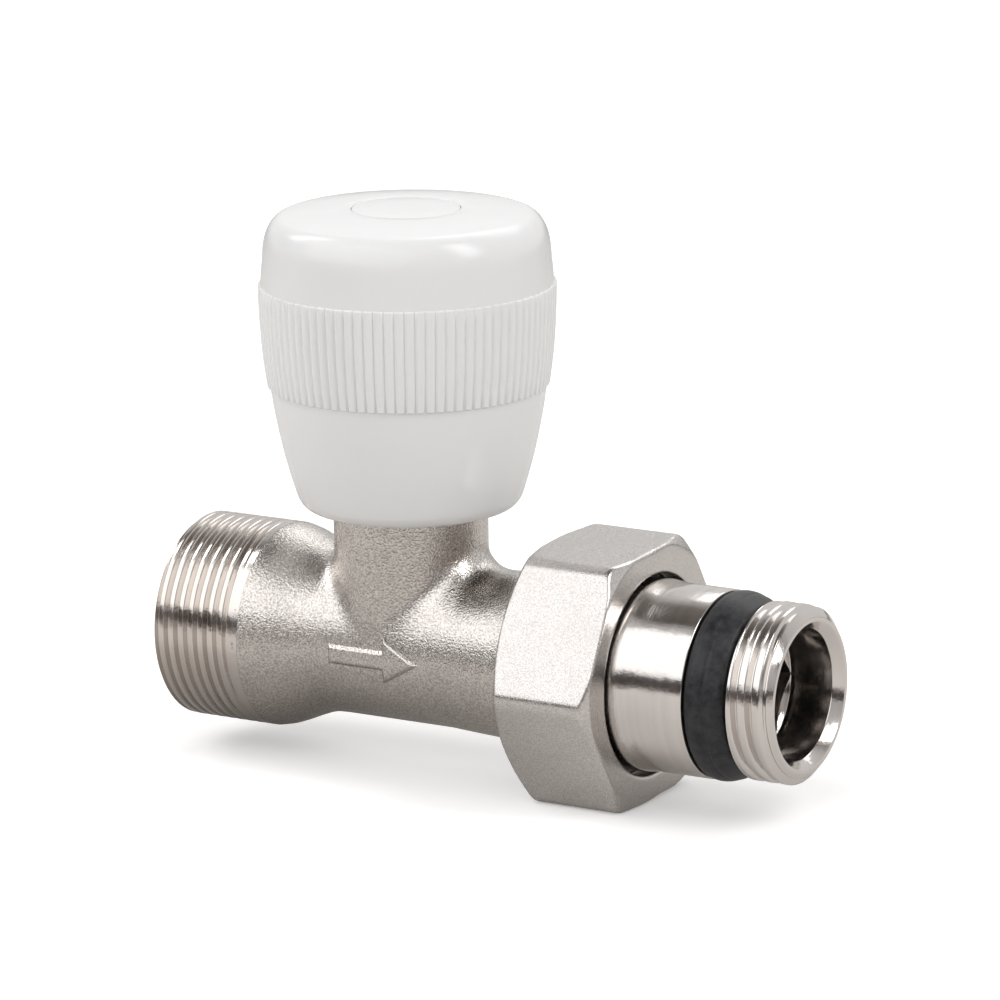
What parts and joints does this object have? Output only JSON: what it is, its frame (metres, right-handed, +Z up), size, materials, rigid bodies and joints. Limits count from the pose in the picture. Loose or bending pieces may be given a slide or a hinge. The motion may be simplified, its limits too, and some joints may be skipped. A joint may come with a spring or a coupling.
{
  "type": "manual radiator valve",
  "caption": "Straight radiator valve with a ribbed white handwheel, a male pipe thread, a hexagon union nut and a self-sealing tail with a rubber seal.",
  "frame": {"origin": "on the flow axis, in the plane where the tail's rubber seal meets the face of the radiator's tapping", "axes": "+X along the flow axis into the radiator, which is the long way of the part; +Z up the spindle through the handwheel"},
  "size_m": [0.0803, 0.0342, 0.0659],
  "materials": {
    "cast_nickel": "hot-forged brass, shot-blasted and nickel plated, fine sparkling grain",
    "turned_nickel": "turned brass, bright nickel plating with faint turning lines",
    "bare_brass": "turned brass, unplated",
    "steel": "zinc plated steel",
    "black_rubber": "satin moulded EPDM rubber",
    "white_plastic": "moulded white ABS, soft gloss",
    "ptfe": "PTFE, waxy white"
  },
  "bodies": {
    "tailpiece": {"tailpiece": "turned_nickel", "tailpiece_seal": "black_rubber"},
    "union_nut": {"union_nut": "cast_nickel"},
    "valve_body": {"valve_body": "cast_nickel", "bonnet": "bare_brass", "bonnet_o_ring": "black_rubber", "gland_packing": "ptfe", "gland_nut": "bare_brass", "gland_o_ring": "black_rubber"},
    "handwheel": {"handwheel": "white_plastic", "handwheel_screw": "steel", "lock_washer": "steel", "screw_cap": "white_plastic", "spindle": "bare_brass", "thrust_washer": "ptfe", "spindle_o_ring": "black_rubber"},
    "plug": {"plug": "bare_brass", "seat_disc": "black_rubber", "seat_disc_washer": "bare_brass", "seat_disc_screw": "bare_brass"}
  },
  "joints": [
    {"name": "union_nut_turn", "type": "hinge", "parent": "tailpiece", "child": "union_nut", "pos_m": [0, 0, 0], "axis": [1, 0, 0], "range_deg": [0, 1620]},
    {"name": "union_pull_off", "type": "slide", "parent": "tailpiece", "child": "valve_body", "axis": [-1, 0, 0], "range_m": [0, 0.00816]},
    {"name": "handwheel_turn", "type": "hinge", "parent": "valve_body", "child": "handwheel", "pos_m": [-0.0461, 0, 0], "axis": [0, 0, 1], "range_deg": [0, 1080]},
    {"name": "plug_lift", "type": "slide", "parent": "handwheel", "child": "plug", "axis": [0, 0, 1], "range_m": [0, 0.00375]}
  ],
  "couplings": [
    {"joint": "union_nut_turn", "follows": "union_pull_off", "rad_per_m": 3463.2},
    {"joint": "plug_lift", "follows": "handwheel_turn", "m_per_rad": 0.00019894}
  ]
}
